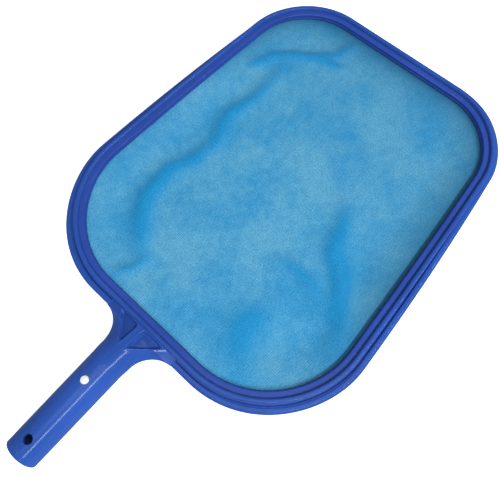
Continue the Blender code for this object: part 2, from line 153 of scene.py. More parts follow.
class ClipSettings(bpy.types.PropertyGroup):
    """The V-shaped lock clip."""

    thickness: length("Thickness", 0.0015, "Thickness of the strip")
    bore_gap: length("Gap to bore", 0.0003, "Space between each leg's edges and the bore")
    bend_depth: length("Bend depth", 0.0010, "From the hinges back to where the bend's curve starts")
    cut_gap: length("Cut", 0.00015, "Half of the gap between the bend and each leg")
    button_reach: length("Button reach", 0.0458, "From the hinges to the middle of the buttons")
    button_radius: length("Button radius", 0.0033, "Radius of each button")
    button_foot: length("Button foot", 0.0099, "From the handle's axis to where a button starts")
    dome: length("Dome", 0.0016, "Height of each button's dome")
    seat: length("Seat", 0.0043, "Half the length of the level part under each button")
    tip_drop: length("Tip drop", 0.0009, "How far each leg's tip turns back towards the axis")
    softening: length("Softened edges", 0.00025, "Width of the bevel along the strip's edges")


class NetSettings(bpy.types.PropertyGroup):
    """The woven net."""

    cell: length("Cell", 0.0028, "Size of the cloth's squares")
    slack: FloatProperty(
        name="Slack",
        default=0.003,
        min=0,
        max=0.05,
        subtype="FACTOR",
        description="Spare length in the net, as a share of its size",
    )
    thread: length("Thread spacing", 0.0017, "From one thread to the next")
    thickness: length("Thickness", 0.0004, "Thickness of the woven net")
    dip: length("Dip", 0.0052, "How far below its edge the net starts, before it settles")
    ripple: length("Ripple", 0.0008, "Height of the small waves that it starts with")
    tuck: length("Tuck", 0.0036, "How far the net goes between the ledge and the ring")


class FinishSettings(bpy.types.PropertyGroup):
    """Colours of the four materials."""

    frame_blue: colour("Frame", (0.024, 0.078, 0.350), "Blue of the moulded frame")
    ring_blue: colour("Ring", (0.027, 0.068, 0.330), "Blue of the snap-in ring")
    net_blue: colour("Net", (0.012, 0.290, 0.600), "Blue of the net's threads")
    # Painted sheen: a paler blue that stands in for light over the net's flat parts.
    net_painted_sheen: colour("Net bloom", (0.116, 0.412, 0.636), "Paler blue over the net's flat parts")
    # Painted shade: the deep blue that the net is darkened to beside the rim and towards DARK_SIDE.
    net_shadow: colour("Net shade", (0.008, 0.105, 0.215), "Deep blue of the net beside the rim")
    scuff_blue: colour("Scuffs", (0.30, 0.42, 0.72), "Pale blue of the scuffs on the mouldings")
    clip_white: colour("Clip", (0.86, 0.87, 0.86), "White of the lock clip")


def settings():
    return bpy.context.scene.skimmer


class SkimmerSettings(bpy.types.PropertyGroup):
    """All of the skimmer's settings."""

    head: PointerProperty(type=HeadSettings)
    section: PointerProperty(type=SectionSettings)
    handle: PointerProperty(type=HandleSettings)
    clip: PointerProperty(type=ClipSettings)
    net: PointerProperty(type=NetSettings)
    finish: PointerProperty(type=FinishSettings)


# ---- Outlines and meshes ----


def smooth_step(value):
    value = min(max(value, 0.0), 1.0)
    return value * value * (3 - 2 * value)


def rounded_polygon(corners, steps, run_points=None):
    """A closed counter-clockwise outline of (x, y) points. corners are (x, y, radius), each radius becomes
    an arc of that many steps, and run_points gives the points on the straight run after each corner."""
    count = len(corners)
    places = [Vector(corner[:2]) for corner in corners]
    arcs = []
    for i, (place, corner) in enumerate(zip(places, corners)):
        radius = corner[2]
        if not radius:
            arcs.append([place])
            continue
        back = (places[i - 1] - place).normalized()
        ahead = (places[(i + 1) % count] - place).normalized()
        half_angle = back.angle(ahead) / 2
        centre = place + (back + ahead).normalized() * radius / math.sin(half_angle)
        start = place + back * radius / math.tan(half_angle) - centre
        turn = math.pi - 2 * half_angle
        side = 1 if back.x * ahead.y - back.y * ahead.x < 0 else -1
        turns = [Matrix.Rotation(side * turn * k / steps, 2) for k in range(steps + 1)]
        arcs.append([centre + rotation @ start for rotation in turns])
    points = []
    for i, arc in enumerate(arcs):
        points += arc
        run = run_points[i] if run_points else 0
        following = arcs[(i + 1) % count][0]
        points += [arc[-1].lerp(following, (k + 1) / (run + 1)) for k in range(run)]
    return points


def head_outline(rear, rear_side, front_side, front, rear_growth, front_growth, bow):
    """The opening's outline moved outwards: by rear and front at its ends, and by rear_side and front_side
    where its long sides start and finish. Its corner radii grow, and bow is how far the sides curve out."""
    head = settings().head
    narrowing = head.rear_half_width - head.front_half_width + rear_side - front_side
    rear_y = head.rear_half_width + rear_side + narrowing * rear / OPENING_LENGTH
    front_y = head.front_half_width + front_side - narrowing * front / OPENING_LENGTH
    corners = [
        (-rear, -rear_y, head.rear_corner + rear_growth),
        (OPENING_LENGTH + front, -front_y, head.front_corner + front_growth),
        (OPENING_LENGTH + front, front_y, head.front_corner + front_growth),
        (-rear, rear_y, head.rear_corner + rear_growth),
    ]
    outline = []
    for point in rounded_polygon(corners, CORNER_STEPS, RUN_POINTS):
        along = min(max(point.x / OPENING_LENGTH, 0.0), 1.0)
        half_width = rear_y + (front_y - rear_y) * along
        sideways = min(abs(point.y) / half_width, 1.0)
        push = bow * 4 * along * (1 - along) * sideways**6
        outline.append(Vector((point.x + OPENING_REAR, point.y + math.copysign(push, point.y))))
    return outline


def border(offset):
    """The opening's outline moved outwards by the same amount all round."""
    return head_outline(offset, offset, offset, offset, offset, offset, settings().head.side_bow)


def rim_loop(offset):
    """An even border inside the groove's outer wall. Beyond it, a loop that follows the flange's edge."""
    head, section = settings().head, settings().section
    if offset <= head.ring_width + section.ledge_gap + section.ridge_width + section.groove_width:
        return border(offset)
    inset = head.rear_flange - offset
    return head_outline(
        head.rear_flange - inset,
        head.rear_side_flange - inset,
        head.front_side_flange - inset,
        head.front_flange - inset,
        head.rear_flange_growth - inset,
        head.front_flange_growth - inset,
        head.flange_bow,
    )


def ring_edges(ring):
    return [(a, b) for a, b in zip(ring, ring[1:] + ring[:1])]


def lofted(rings, capped):
    """A closed body through rings of as many points each. Capped, it ends in two flat faces. If it isn't,
    its last ring joins its first."""
    bm = bmesh.new()
    first = [bm.verts.new(point) for point in rings[0]]
    first_edges = [bm.edges.new(pair) for pair in ring_edges(first)]
    current, edges = first, first_edges
    for points in rings[1:]:
        made = bmesh.ops.extrude_edge_only(bm, edges=edges)["geom"]
        fresh = {item for item in made if isinstance(item, bmesh.types.BMVert)}
        following = []
        for vert, point in zip(current, points):
            partner = next(e.other_vert(vert) for e in vert.link_edges if e.other_vert(vert) in fresh)
            partner.co = point
            following.append(partner)
        current = following
        edges = [bm.edges.get(pair) for pair in ring_edges(current)]
    if capped:
        bm.faces.new(first)
        bm.faces.new(current)
    else:
        bmesh.ops.bridge_loops(bm, edges=edges + first_edges)
    bmesh.ops.recalc_face_normals(bm, faces=bm.faces)
    return bm


def rail(section, loop_at):
    """The section, a closed list of (offset, height), carried round the head."""
    return lofted([[(p.x, p.y, height) for p in loop_at(offset)] for offset, height in section], False)


def cylinder(radius, start, end, sides=96):
    bm = bmesh.new()
    along = Vector(end) - Vector(start)
    turn = along.to_track_quat("Z", "Y").to_matrix().to_4x4()
    place = Matrix.Translation((Vector(start) + Vector(end)) / 2) @ turn
    bmesh.ops.create_cone(
        bm, cap_ends=True, segments=sides, radius1=radius, radius2=radius, depth=along.length, matrix=place
    )
    return bm


def new_object(name, bm):
    mesh = bpy.data.meshes.new(name)
    bm.to_mesh(mesh)
    bm.free()
    obj = bpy.data.objects.new(name, mesh)
    bpy.context.scene.collection.objects.link(obj)
    return obj


def combine(obj, others):
    """Joins or cuts obj with each (bmesh, operation), and keeps one plain mesh."""
    helpers = []
    for i, (bm, operation) in enumerate(others):
        helper = new_object(f"{obj.name}_helper_{i}", bm)
        modifier = obj.modifiers.new(helper.name, "BOOLEAN")
        modifier.operation = operation
        modifier.object = helper
        modifier.solver = "EXACT"
        helpers.append(helper)
    take_modified_mesh(obj)
    for helper in helpers:
        bpy.data.objects.remove(helper)


def take_modified_mesh(obj):
    graph = bpy.context.evaluated_depsgraph_get()
    mesh = bpy.data.meshes.new_from_object(obj.evaluated_get(graph))
    obj.modifiers.clear()
    obj.data = mesh


def finish_piece(obj, material, body, nodes, smooth_degrees=40):
    obj.data.materials.clear()
    obj.data.materials.append(material)
    obj.data.shade_smooth()
    obj.data.set_sharp_from_angle(angle=math.radians(smooth_degrees))
    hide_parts(*nodes)
    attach(obj, body)
    return obj


# ---- Materials ----


class Value:
    """A node socket that can stand in an expression."""

    def __init__(self, shader, socket):
        self.shader = shader
        self.socket = socket

    def math(self, operation, *others):
        return self.shader.math(operation, self, *others)

    def __add__(self, other):
        return self.math("ADD", other)

    def __radd__(self, other):
        return self.math("ADD", other)

    def __sub__(self, other):
        return self.math("SUBTRACT", other)

    def __rsub__(self, other):
        return self.shader.math("SUBTRACT", other, self)

    def __mul__(self, other):
        return self.math("MULTIPLY", other)

    def __rmul__(self, other):
        return self.math("MULTIPLY", other)

    def __pow__(self, other):
        return self.math("POWER", other)


class Shader:
    """A new material and its nodes. Expressions on its values add the Math nodes."""

    def __init__(self, name):
        self.material = bpy.data.materials.new(name)
        self.material.use_nodes = True
        self.tree = self.material.node_tree
        self.surface = self.tree.nodes["Principled BSDF"]

    def node(self, kind, options=None, inputs=None, output=0):
        """Makes a node. Its settings come first, then the values or links of its sockets."""
        made = self.tree.nodes.new(kind)
        for key, value in (options or {}).items():
            setattr(made, key, value)
        self.connect(made, inputs or {})
        return Value(self, made.outputs[output])

    def connect(self, target, inputs):
        for key, value in inputs.items():
            if isinstance(value, Value):
                self.tree.links.new(value.socket, target.inputs[key])
            else:
                target.inputs[key].default_value = value

    def set(self, **inputs):
        self.connect(self.surface, {key.replace("_", " "): value for key, value in inputs.items()})

    def place(self):
        return self.node("ShaderNodeTexCoord", output="Object")

    def axes(self, vector):
        """The vector's x, y and z."""
        split = self.node("ShaderNodeSeparateXYZ", inputs={0: vector}).socket.node
        return [Value(self, socket) for socket in split.outputs]

    def attribute(self, name):
        """A mesh attribute that holds one number at each point."""
        return self.node("ShaderNodeAttribute", {"attribute_name": name}, output="Fac")

    def math(self, operation, *values):
        return self.node("ShaderNodeMath", {"operation": operation}, dict(enumerate(values)))

    def noise(self, vector, scale, detail=2.0, roughness=0.5):
        """Values near 0.5 that change smoothly, about scale times in each metre."""
        inputs = {"Vector": vector, "Scale": scale, "Detail": detail, "Roughness": roughness}
        return self.node("ShaderNodeTexNoise", inputs=inputs)

    def mix(self, factor, first, second, blend="MIX"):
        options = {"data_type": "RGBA", "blend_type": blend, "clamp_factor": True}
        return self.node("ShaderNodeMix", options, {0: factor, 6: first, 7: second}, output=2)

    def remap(self, value, low, high, to_low, to_high):
        inputs = {0: value, 1: low, 2: high, 3: to_low, 4: to_high}
        return self.node("ShaderNodeMapRange", {"clamp": True}, inputs)

    def bump(self, height, strength, distance):
        inputs = {"Height": height, "Strength": strength, "Distance": distance}
        return self.node("ShaderNodeBump", inputs=inputs)


def shade(base, factor=1.0):
    """The colour made darker or lighter, with its alpha."""
    return (*(min(channel * factor, 1.0) for channel in base), 1.0)


def bore_shade_mask(shader, place):
    """1 on the handle's inner wall, where little light comes in and shade is painted, and 0 elsewhere."""
    wall = settings().handle.bore_radius
    bright_end, dark_start = OPENING_REAR - 0.045, OPENING_REAR - 0.049
    x, y, z = shader.axes(place)
    from_axis = (y * y + (z - AXIS_HEIGHT) ** 2) ** 0.5
    near_axis = shader.remap(from_axis, wall + 0.0002, wall + 0.0010, 1.0, 0.0)
    return near_axis * shader.remap(x, bright_end, dark_start, 0.0, 1.0)


def painted_pocket_shade(shader, place):
    """1 on the floors of the collar's two pockets, where shade is painted, falling to 0 at their edges."""
    handle = settings().handle
    x, y, _ = shader.axes(place)
    from_head = OPENING_REAR - handle.pocket_near - x
    from_rib = y.math("ABSOLUTE") - handle.rib / 2
    from_side = handle.pocket_length - from_head - from_rib * (handle.pocket_length / handle.pocket_width)
    inside = from_head.math("MINIMUM", from_rib).math("MINIMUM", from_side)
    full_dark = 0.0022
    return shader.remap(inside, 0.0, full_dark, 0.0, 1.0)


def moulded_plastic(name, base, gloss, has_handle):
    """Satin injection-moulded plastic: cloudy pigment, faint flow lines, fine grain and soft scuffs. On the
    piece with the handle, shade is painted into the bore and into the pockets, which makes them darker."""
    shader = Shader(name)
    place = shader.place()
    cloud = shader.noise(place, scale=14.0, detail=3.0, roughness=0.55)
    along_handle = shader.node("ShaderNodeMapping", inputs={"Vector": place, "Scale": (30.0, 220.0, 220.0)})
    flow = shader.noise(along_handle, scale=1.0)
    grain = shader.noise(place, scale=2600.0, roughness=0.6)
    scratched = shader.noise(place, scale=420.0, detail=4.0, roughness=0.7)
    scuffs = shader.remap(scratched, 0.60, 0.74, 0.0, 1.0)
    tone = shader.remap(cloud * 0.7 + flow * 0.3, 0.35, 0.65, 0.0, 1.0)
    pigment = shader.mix(tone, shade(base, 0.90), shade(base, 1.10))
    roughness = shader.remap(cloud * 0.5 + grain * 0.5, 0.3, 0.7, gloss - 0.02, gloss + 0.03)
    if has_handle:
        in_bore = bore_shade_mask(shader, place)
        # Painted shade: the bore's inner wall is darkened, standing in for the light that doesn't reach it.
        pigment = shader.mix(in_bore * 0.9, pigment, shade(base, 0.10))
        # Painted shade: the pocket floors are darkened, standing in for the light they lose.
        pigment = shader.mix(painted_pocket_shade(shader, place) * 0.50, pigment, shade(base, 0.50))
        roughness = roughness + in_bore * 0.6
    shader.set(
        Base_Color=shader.mix(scuffs * 0.10, pigment, shade(settings().finish.scuff_blue)),
        Roughness=roughness,
        Normal=shader.bump(grain * 0.15 + flow * 0.85, strength=0.04, distance=0.0002),
        Specular_IOR_Level=0.18,
    )
    return shader.material


def white_acetal(name, base):
    """Matte white plastic with a fine grain and faintly uneven colour."""
    shader = Shader(name)
    place = shader.place()
    grain = shader.noise(place, scale=1800.0)
    cloud = shader.noise(place, scale=90.0)
    shader.set(
        Base_Color=shader.mix(cloud, shade(base, 0.93), shade(base, 1.03)),
        Roughness=shader.remap(grain, 0.3, 0.7, 0.36, 0.48),
        Normal=shader.bump(grain, strength=0.10, distance=0.0002),
    )
    return shader.material


def woven_net(name, finish, spacing):
    """Fine plain weave on the cloth's own UV map, which is in metres: round threads and small holes. A pale
    painted sheen, standing in for light, lies over the flat parts and is left off along the folds, where the
    deeper plain dye shows. Painted shade darkens the hollows between the threads and the cloth beside the
    rim."""
    shader = Shader(name)
    uv = shader.node("ShaderNodeUVMap", {"uv_map": "weave"})
    fold = shader.attribute("fold")
    shadow = shader.attribute("shadow")
    drift = (shader.noise(uv, scale=55.0) + shader.noise(uv, scale=230.0) * 0.8) * 1.2
    threads = shader.node("ShaderNodeVectorMath", {"operation": "SCALE"}, {0: uv, "Scale": 1 / spacing})
    across, along, _ = shader.axes(threads)
    warp_wave = ((across + drift) * math.pi).math("SINE")
    weft_wave = ((along + drift) * math.pi).math("SINE")
    warp = warp_wave.math("ABSOLUTE")
    weft = weft_wave.math("ABSOLUTE")
    lift = shader.remap(warp_wave * weft_wave, -1.0, 1.0, 0.0, 1.0)
    height = (warp * lift).math("MAXIMUM", weft * (1 - lift))
    cover = shader.remap(warp.math("MAXIMUM", weft), 0.35, 0.65, 0.0, 1.0)
    slub = shader.noise(uv, scale=640.0, detail=3.0, roughness=0.8)
    patch = shader.noise(uv, scale=130.0, roughness=0.6)
    cloud = shader.noise(uv, scale=17.0, detail=3.0, roughness=0.55)
    # Painted sheen over the flat parts, standing in for light, and left off along the folds.
    painted_sheen = shader.remap(cloud * 0.85 + patch * 0.15, 0.38, 0.60, 0.30, 1.0) * (1 - fold)
    dye_and_painted_sheen = shader.mix(painted_sheen, shade(finish.net_blue), shade(finish.net_painted_sheen))
    speckle = shader.remap(slub * 0.85 + patch * 0.15, 0.34, 0.66, 0.0, 1.0)
    spotted = shader.mix(speckle, (0.56, 0.68, 0.76, 1.0), (1.36, 1.26, 1.18, 1.0))
    woven = shader.mix(1.0, dye_and_painted_sheen, spotted, "MULTIPLY")
    # Painted shadow of the rim on the net, and painted shade growing towards DARK_SIDE.
    woven = shader.mix(shadow * 0.85, woven, shade(finish.net_shadow))
    # Painted shade in the hollows between the threads, and a painted highlight on their tops.
    hollow = shader.mix(height, (0.50, 0.60, 0.66, 1.0), (1.12, 1.09, 1.06, 1.0))
    shader.set(
        Base_Color=shader.mix(0.8, woven, hollow, "MULTIPLY"),
        Roughness=shader.remap(slub, 0.3, 0.7, 0.55, 0.72),
        Alpha=shader.remap(cover, 0.0, 1.0, 0.80, 1.0).math("MAXIMUM", fold),
        Normal=shader.bump(height + slub * 0.5, strength=0.45, distance=0.0003),
        Sheen_Weight=0.15,
        Specular_IOR_Level=0.15,
    )
    return shader.material


# ---- Frame ----

LEDGE_REACH = 0.0004  # how far the ledge and the ring's foot stand into the opening
RIDGE_FOOT = 0.0018  # from the ridge's outer wall in to the web's root
END_ROUNDING = 0.0007  # rounding of the handle's open end
OVERLAP = 0.0004  # how far the collar goes below the flange's top, so that the two join cleanly
COLLAR_FLATNESS = (0.5, 0.8)  # exponent of the surface's curve: round on the handle, and what the rim adds
POCKET_ROUNDING = 800.0  # how sharp the pockets' corners are; a larger number is sharper
POCKET_WALL = 0.0022  # thickness between a pocket's floor and the recess under it
RECESS_CORNER = 0.0014  # corner radius of that recess
CUTTER_REACH = 0.02  # how far a pin hole's cutter goes above and below the handle's axis
CUTTER_OVERHANG = 0.003  # how far the bore's cutter stands out of the open end
BORE_STOP = 0.001  # from the collar's start back to the bore's end


def frame_section():
    """The rim's section, from the ledge's inner bottom corner round to its top. Each corner is its offset
    from the opening, its height and its rounding."""
    head, section = settings().head, settings().section
    net_bottom = NET_BOX[0].z
    ledge_top = net_bottom - section.ledge_gap
    ridge_inner = head.ring_width + section.ledge_gap
    ridge_outer = ridge_inner + section.ridge_width
    ridge_top = RING_BOX[1].z + section.ridge_above_ring
    groove_outer = ridge_outer + section.groove_width
    groove_bottom = section.flange_top - section.groove_depth
    web_bottom = groove_bottom - section.wall
    root = ridge_outer - RIDGE_FOOT
    skirt_inner = head.rear_flange - section.wall
    corners = [
        (-LEDGE_REACH, section.ledge_bottom, 0.0005),
        (root, section.ledge_bottom, 0.0004),
        (root, web_bottom, 0.0006),
        (skirt_inner, web_bottom, 0.0006),
        (skirt_inner, 0.0, 0.0004),
        (head.rear_flange, 0.0, 0.0006),
        (head.rear_flange, section.flange_top - 0.0013, 0.0010),
        (head.rear_flange - 0.0021, section.flange_top, 0.0018),
        (groove_outer, section.flange_top, 0.0006),
        (groove_outer, groove_bottom, 0.0005),
        (ridge_outer, groove_bottom, 0.0005),
        (ridge_outer, ridge_top, 0.0012),
        (ridge_inner + 0.0009, ridge_top, 0.0016),
        (ridge_inner, RING_BOX[1].z + 0.0006, 0.0006),
        (ridge_inner, ledge_top, 0.0),
        (-LEDGE_REACH, ledge_top, 0.0008),
    ]
    return rounded_polygon(corners, ROUNDING_STEPS)


class Collar:
    """Works out the handle's and the collar's surface. Heights are above the floor, and x runs from the
    opening's rear edge, so that it is negative along the handle."""

    def __init__(self):
        head, section, self.handle = settings().head, settings().section, settings().handle
        self.end = HANDLE_END - OPENING_REAR
        self.start = -self.handle.collar_start
        self.ridge_outer = -(head.ring_width + section.ledge_gap + section.ridge_width)
        self.ridge_top = RING_BOX[1].z + section.ridge_above_ring
        self.flange_top = section.flange_top
        self.flare_centre = -(self.handle.flare_end + self.handle.flare_radius)

    def radius(self, x):
        share = min(max((x - self.end) / (self.start - self.end), 0.0), 1.0)
        return self.handle.end_radius + (self.handle.root_radius - self.handle.end_radius) * share

    def crown(self, x):
        """Top height on the centre line. It falls to just above the ridge, and ends a hair below its top,
        because faces at the same height don't join cleanly."""
        share = min(max((x - self.start) / (self.ridge_outer - self.start), 0.0), 1.0)
        share = (share + smooth_step(share)) / 2
        top = AXIS_HEIGHT + self.radius(x)
        ridge = self.ridge_top + self.handle.above_ridge
        fall_start, fall_length, hair = self.ridge_outer - 0.0006, 0.0024, 0.00003
        onto_ridge = smooth_step((x - fall_start) / fall_length)
        return top + (ridge - top) * share - (self.handle.above_ridge + hair) * onto_ridge

    def half_width(self, x):
        if x < self.flare_centre:
            lead = smooth_step((x - self.start) / (self.flare_centre - self.start))
            return self.radius(x) + (self.handle.flare_half_width - self.radius(x)) * lead
        reach = min((x - self.flare_centre) / self.handle.flare_radius, 1.0)
        swing = self.handle.flare_radius * (1 - math.sqrt(1 - reach**2))
        return min(self.handle.flare_half_width + swing, self.handle.collar_half_width)

    def blend(self, x):
        """0 on the round handle, 1 where the collar meets the rim."""
        return smooth_step((x - self.start) / (-self.handle.flare_end - self.start))

    def widest(self, x):
        """Height of the widest line, which falls from the handle's axis to the flange."""
        drop = smooth_step((x - self.flare_centre) / self.handle.flare_radius)
        return AXIS_HEIGHT + (self.flange_top - OVERLAP - AXIS_HEIGHT) * drop

    def surface(self, x, across, trim=0.0):
        """Height of the upper surface. across runs from -1 to 1 over the width."""
        widest = self.widest(x)
        flatness = COLLAR_FLATNESS[0] + COLLAR_FLATNESS[1] * self.blend(x)
        return widest + (self.crown(x) - trim - widest) * (1 - across**2) ** flatness

    def inside_pocket(self, x, y):
        """How far (x, y) lies inside a pocket's rounded triangle. It is negative outside."""
        handle = self.handle
        inner = handle.rib / 2
        slope = math.hypot(handle.pocket_length, handle.pocket_width)
        from_head = -handle.pocket_near - x
        from_rib = abs(y) - inner
        from_side = handle.pocket_width * (handle.pocket_length - from_head)
        from_side -= from_rib * handle.pocket_length
        distances = (from_head, from_rib, from_side / slope)
        total = sum(math.exp(-POCKET_ROUNDING * max(distance, -0.01)) for distance in distances)
        return -math.log(total) / POCKET_ROUNDING

    def top(self, x, y, height):
        """The upper surface with its pockets and the faint raised edge round them."""
        inside = self.inside_pocket(x, y)
        beyond_edge, edge_width, edge_height = -0.0035, 0.0010, 0.0003
        if inside < beyond_edge:
            return height
        edge = math.exp(-(((inside + edge_width) / edge_width) ** 2)) * edge_height
        wall_start, wall_width = -0.0007, 0.0019
        sink = smooth_step((inside - wall_start) / wall_width)
        return height + edge - self.handle.pocket_depth * sink

    def stations(self):
        """Where the cross-sections stand: far apart on the handle, and close together round the pockets."""
        places = [self.end + END_ROUNDING * (1 - math.cos(k * math.pi / 10)) for k in range(6)]
        before_pockets, under_ridge = -0.032, -0.0065
        for first, last, step in (
            (places[-1], self.start, 0.006),
            (self.start, before_pockets, 0.0008),
            (before_pockets, under_ridge, 0.00032),
        ):
            count = round((last - first) / step)
            places += [first + (last - first) * (k + 1) / count for k in range(count)]
        return places

    def ring(self, x):
        """One cross-section: round on the handle, and a low mound by the rim."""
        blend = self.blend(x)
        inset = min((x - self.end) / END_ROUNDING, 1.0)
        trim = END_ROUNDING * (1 - math.sqrt(max(1 - (1 - inset) ** 2, 0.0)))
        half_width = self.half_width(x) - trim
        rim_clearance = 0.0005
        low = (AXIS_HEIGHT - self.radius(x) + trim) * (1 - blend) + rim_clearance * blend
        widest = self.widest(x)
        points = []
        for k in range(TOP_POINTS):
            across = math.cos(math.pi * k / TOP_POINTS)
            y = half_width * across
            points.append((x + OPENING_REAR, y, self.top(x, y, self.surface(x, across, trim))))
        for k in range(BOTTOM_POINTS):
            across = -math.cos(math.pi * k / BOTTOM_POINTS)
            height = widest - (widest - low) * (1 - across**2) ** 0.5
            points.append((x + OPENING_REAR, half_width * across, height))
        return points


def handle_cutters():
    """The bore, the pairs of pin holes and the two recesses under the collar."""
    handle = settings().handle
    bore_start = (HANDLE_END - CUTTER_OVERHANG, 0, AXIS_HEIGHT)
    bore_end = (OPENING_REAR - handle.collar_start - BORE_STOP, 0, AXIS_HEIGHT)
    cutters = [cylinder(handle.bore_radius, bore_start, bore_end)]
    button_x = HINGES["upper_leg"].x + settings().clip.button_reach + handle.button_play
    for x in (button_x, button_x - handle.hole_spacing):
        low, high = (x, 0, AXIS_HEIGHT - CUTTER_REACH), (x, 0, AXIS_HEIGHT + CUTTER_REACH)
        cutters.append(cylinder(handle.hole_radius, low, high))
    near = OPENING_REAR - handle.pocket_near
    inner = handle.rib / 2
    collar = Collar()
    for side in (-1, 1):
        corners = [
            (near, side * inner, RECESS_CORNER),
            (near, side * (inner + handle.pocket_width), RECESS_CORNER),
            (near - handle.pocket_length, side * inner, RECESS_CORNER),
        ]
        if side < 0:
            corners.reverse()
        outline = rounded_polygon(corners, 6)
        below_floor = -0.01
        low = [(p.x, p.y, below_floor) for p in outline]
        high = []
        for p in outline:
            x = p.x - OPENING_REAR
            across = min(abs(p.y) / collar.half_width(x), 1.0)
            high.append((p.x, p.y, collar.surface(x, across) - handle.pocket_depth - POCKET_WALL))
        cutters.append(lofted([low, high], True))
    return cutters


class SKIMMER_OT_frame(bpy.types.Operator):
    """Build the frame: rim, collar and hollow handle in one moulding"""

    bl_idname = "skimmer.frame"
    bl_label = "Frame"

    def execute(self, context):
        obj = new_object("skimmer_frame", rail(frame_section(), rim_loop))
        collar = Collar()
        handle = lofted([collar.ring(x) for x in collar.stations()], True)
        cuts = [(cutter, "DIFFERENCE") for cutter in handle_cutters()]
        combine(obj, [(handle, "UNION"), *cuts])
        blue = settings().finish.frame_blue
        material = moulded_plastic("blue_frame_plastic", blue, gloss=0.17, has_handle=True)
        finish_piece(obj, material, "head", ["frame"])
        return {"FINISHED"}


# ---- Ring ----


class SKIMMER_OT_ring(bpy.types.Operator):
    """Build the snap-in ring that holds the net"""

    bl_idname = "skimmer.ring"
    bl_label = "Retaining Ring"

    def execute(self, context):
        bottom, top = RING_BOX[0].z, RING_BOX[1].z
        snap_width = 0.00028
        width = settings().head.ring_width + snap_width
        corners = [
            (-LEDGE_REACH, bottom, 0.0002),
            (width, bottom, 0.0),
            (width, top + 0.0003, 0.0),
            (0.0010, top + 0.0001, 0.0003),
            (0.0001, top - 0.0004, 0.0002),
            (0.0, bottom + 0.0018, 0.0008),
            (-0.0006, bottom + 0.0011, 0.0004),
        ]
        obj = new_object("skimmer_ring", rail(rounded_polygon(corners, 5), border))
        blue = settings().finish.ring_blue
        material = moulded_plastic("blue_ring_plastic", blue, gloss=0.20, has_handle=False)
        finish_piece(obj, material, "head", ["retaining_ring"])
        return {"FINISHED"}


# ---- Net ----

HANG_STEPS = 45  # steps of the cloth simulation
GROUND = -0.0008  # height of the ground that the net comes down on, just under the floor's top
DARK_SIDE = (0.80, -0.60)  # direction from the net's middle to the part of the rim that shades it


def outline_distance(point, outline):
    """Distance to the nearest of the outline's points, positive inside, and that point."""
    place = Vector(point[:2])
    i = min(range(len(outline)), key=lambda k: (outline[k] - place).length_squared)
    nearest = outline[i]
    ahead = outline[(i + 1) % len(outline)] - outline[i - 1]
    inside = ahead.x * (place.y - nearest.y) - ahead.y * (place.x - nearest.x)
    return math.copysign((nearest - place).length, inside), nearest


def cut_net():
    """The flat net as squares of cloth. Its edge lies between the ledge and the ring."""
    net = settings().net
    low, high = NET_BOX
    columns = round((high.x - low.x) / net.cell)
    rows = round((high.y - low.y) / net.cell)
    bm = bmesh.new()
    height = (low.z + high.z) / 2
    place = Matrix.Translation(((low.x + high.x) / 2, (low.y + high.y) / 2, height))
    stretch = Matrix.Diagonal(((high.x - low.x) / 2, (high.y - low.y) / 2, 1, 1))
    bmesh.ops.create_grid(
        bm, x_segments=columns, y_segments=rows, size=1.0, matrix=place @ stretch, calc_uvs=False
    )
    edge = border(net.tuck)
    outside = [v for v in bm.verts if outline_distance(v.co, edge)[0] < -net.cell / 4]
    bmesh.ops.delete(bm, geom=outside, context="VERTS")
    loose = [v for v in bm.verts if not v.link_faces]
    bmesh.ops.delete(bm, geom=loose, context="VERTS")
    for vert in bm.verts:
        if vert.is_boundary:
            vert.co.xy = outline_distance(vert.co, edge)[1]
    weave = bm.loops.layers.uv.new("weave")
    for face in bm.faces:
        for loop in face.loops:
            loop[weave].uv = loop.vert.co.xy
    return bm


# Each fold of the slack net: its height, its half width, and the (x, y) points that its crest runs through.
NET_FOLDS = (
    (0.0044, 0.0038, ((0.140, 0.112), (0.163, 0.103), (0.178, 0.088), (0.190, 0.068), (0.197, 0.042))),
    (0.0026, 0.0040, ((0.192, 0.072), (0.206, 0.054), (0.232, 0.043))),
    (0.0038, 0.0070, ((-0.075, 0.056), (-0.056, 0.075), (-0.036, 0.089), (0.000, 0.092), (0.022, 0.082))),
    (0.0030, 0.0062, ((0.022, 0.082), (0.050, 0.080), (0.082, 0.091), (0.115, 0.084), (0.155, 0.086))),
    (0.0022, 0.0042, ((-0.106, 0.055), (-0.092, 0.048), (-0.074, 0.044))),
    (0.0026, 0.0060, ((-0.002, -0.044), (0.004, -0.060), (0.000, -0.082), (-0.012, -0.102))),
    (0.0042, 0.0075, ((-0.020, -0.126), (0.002, -0.110), (0.022, -0.098), (0.038, -0.076), (0.076, -0.063))),
    (0.0032, 0.0120, ((-0.092, -0.078), (-0.066, -0.061), (-0.038, -0.066))),
)


def fold_height(x, y):
    """How far the folds lift the net at (x, y), before it settles."""
    place = Vector((x, y))
    lift = 0.0
    for height, half_width, crest in NET_FOLDS:
        best = 0.0
        for i, (a, b) in enumerate(zip(crest, crest[1:])):
            start, end = Vector(a), Vector(b)
            along = (place - start).dot(end - start) / (end - start).length_squared
            share = min(max(along, 0.0), 1.0)
            away = (place - start.lerp(end, share)).length
            progress = (i + share) / (len(crest) - 1)
            taper = math.sin(math.pi * (0.12 + 0.76 * progress)) ** 0.7
            best = max(best, taper * math.exp(-((away / half_width) ** 2) / 2))
        lift += height * best
    return lift


